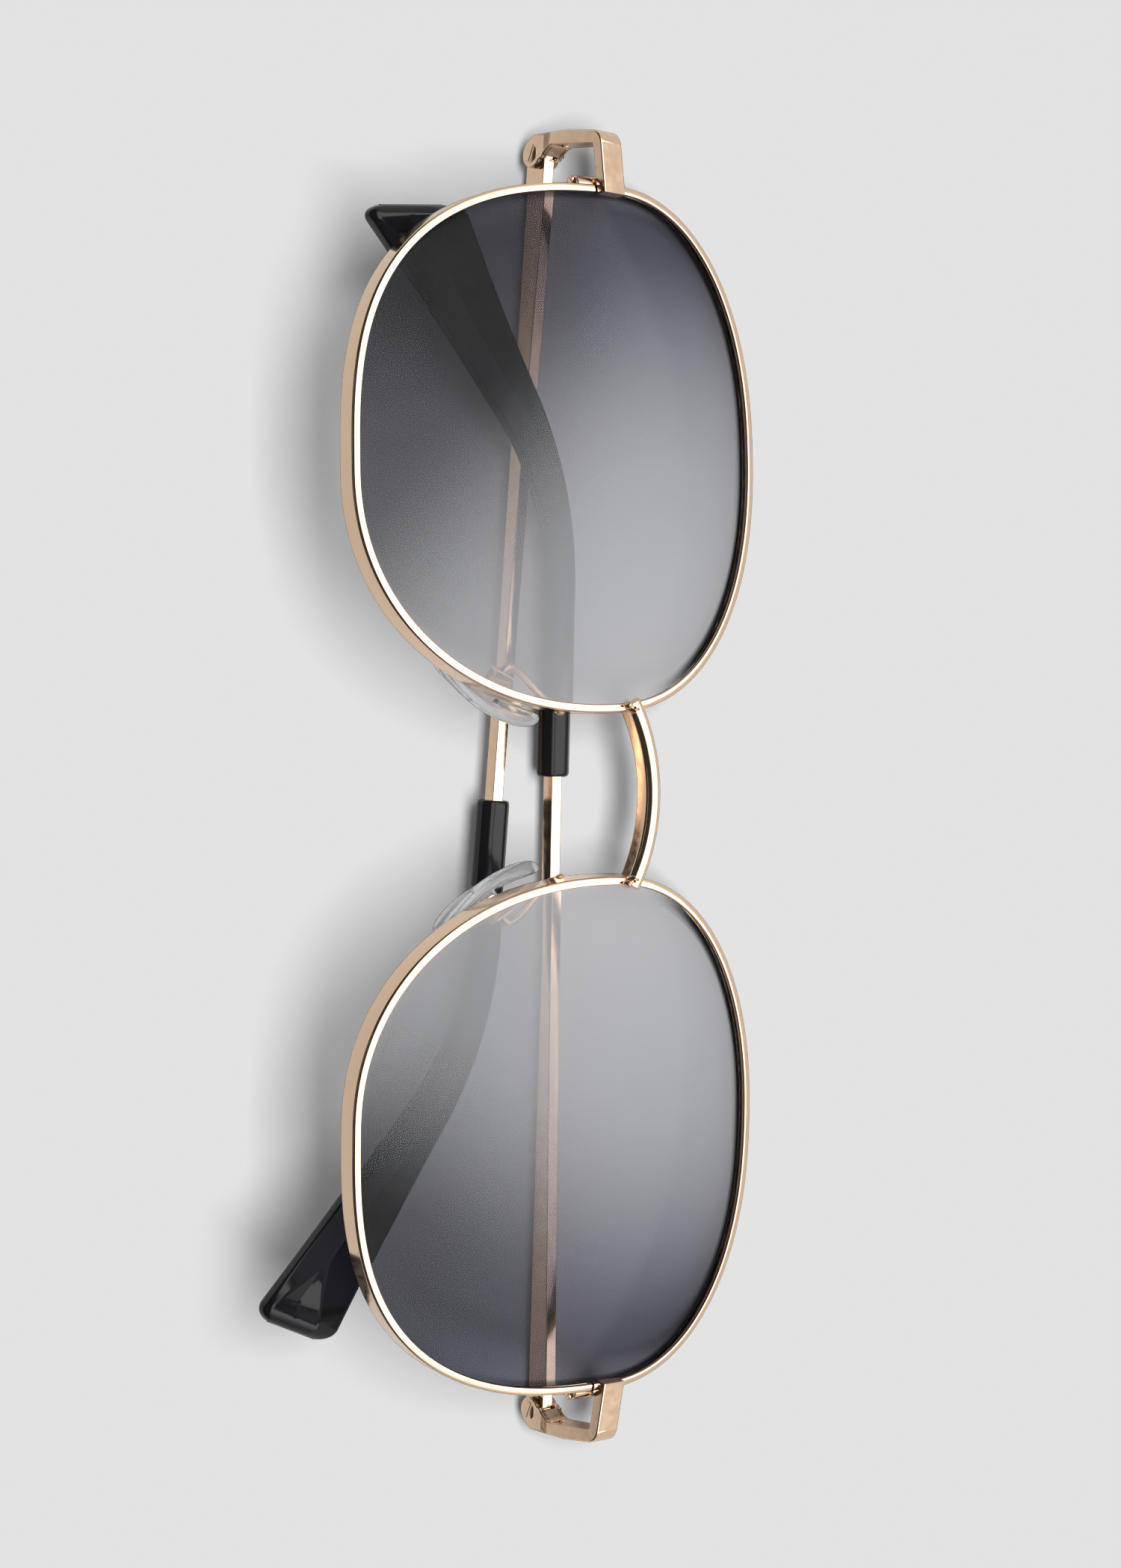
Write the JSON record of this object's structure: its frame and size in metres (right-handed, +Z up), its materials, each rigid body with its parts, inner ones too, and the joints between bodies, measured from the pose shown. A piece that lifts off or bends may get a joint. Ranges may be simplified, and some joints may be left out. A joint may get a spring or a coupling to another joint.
{
  "type": "sunglasses",
  "caption": "Folding metal sunglasses with curved tinted lenses, an arched bridge, rocking clear nose pads and thin temples with dark ear sleeves, folded and lying down.",
  "frame": {"origin": "on the table, under the middle of the folded glasses' box, as they lie on the brow side of the rims and the hinge barrels", "axes": "+X to the wearer's left, +Y towards the brow side, +Z up from the table; the front leans back on the table with its lenses facing up and to +Y"},
  "size_m": [0.1432, 0.0504, 0.0337],
  "materials": {
    "metal": "polished",
    "lens": "polished, tinted",
    "sleeve": "glossy",
    "pad": "clear, soft"
  },
  "bodies": {
    "front": {"rim_right": "metal", "rim_left": "metal", "lens_right": "lens", "lens_left": "lens", "bridge": "metal", "end_piece_right": "metal", "end_piece_left": "metal", "lock_top_right": "metal", "lock_top_left": "metal", "lock_sole_right": "metal", "lock_sole_left": "metal", "lock_screw_right": "metal", "lock_screw_left": "metal", "hinge_screw_right": "metal", "hinge_screw_left": "metal", "pad_arm_right": "metal", "pad_arm_left": "metal", "pad_box_right": "metal", "pad_box_left": "metal", "pad_screw_right": "metal", "pad_screw_left": "metal"},
    "temple_right": {"temple_arm_right": "metal", "temple_sleeve_right": "sleeve"},
    "temple_left": {"temple_arm_left": "metal", "temple_sleeve_left": "sleeve"},
    "pad_right": {"nose_pad_right": "pad"},
    "pad_left": {"nose_pad_left": "pad"}
  },
  "joints": [
    {"name": "temple_right_swing", "type": "hinge", "parent": "front", "child": "temple_right", "pos_m": [-0.06951, 0.00149, 0.00212], "axis": [0.0645, 0.6573, -0.7508], "range_deg": [0, 91]},
    {"name": "temple_left_swing", "type": "hinge", "parent": "front", "child": "temple_left", "pos_m": [0.06961, 0.00149, 0.00212], "axis": [-0.0087, -0.6587, 0.7524], "range_deg": [0, 94]},
    {"name": "pad_right_rock", "type": "hinge", "parent": "front", "child": "pad_right", "pos_m": [-0.01198, -0.00091, 0.0166], "axis": [-0.2762, -0.4948, -0.824], "range_deg": [-8, 8]},
    {"name": "pad_left_rock", "type": "hinge", "parent": "front", "child": "pad_left", "pos_m": [0.01198, -0.00091, 0.0166], "axis": [0.2762, -0.4948, -0.824], "range_deg": [-8, 8]}
  ]
}
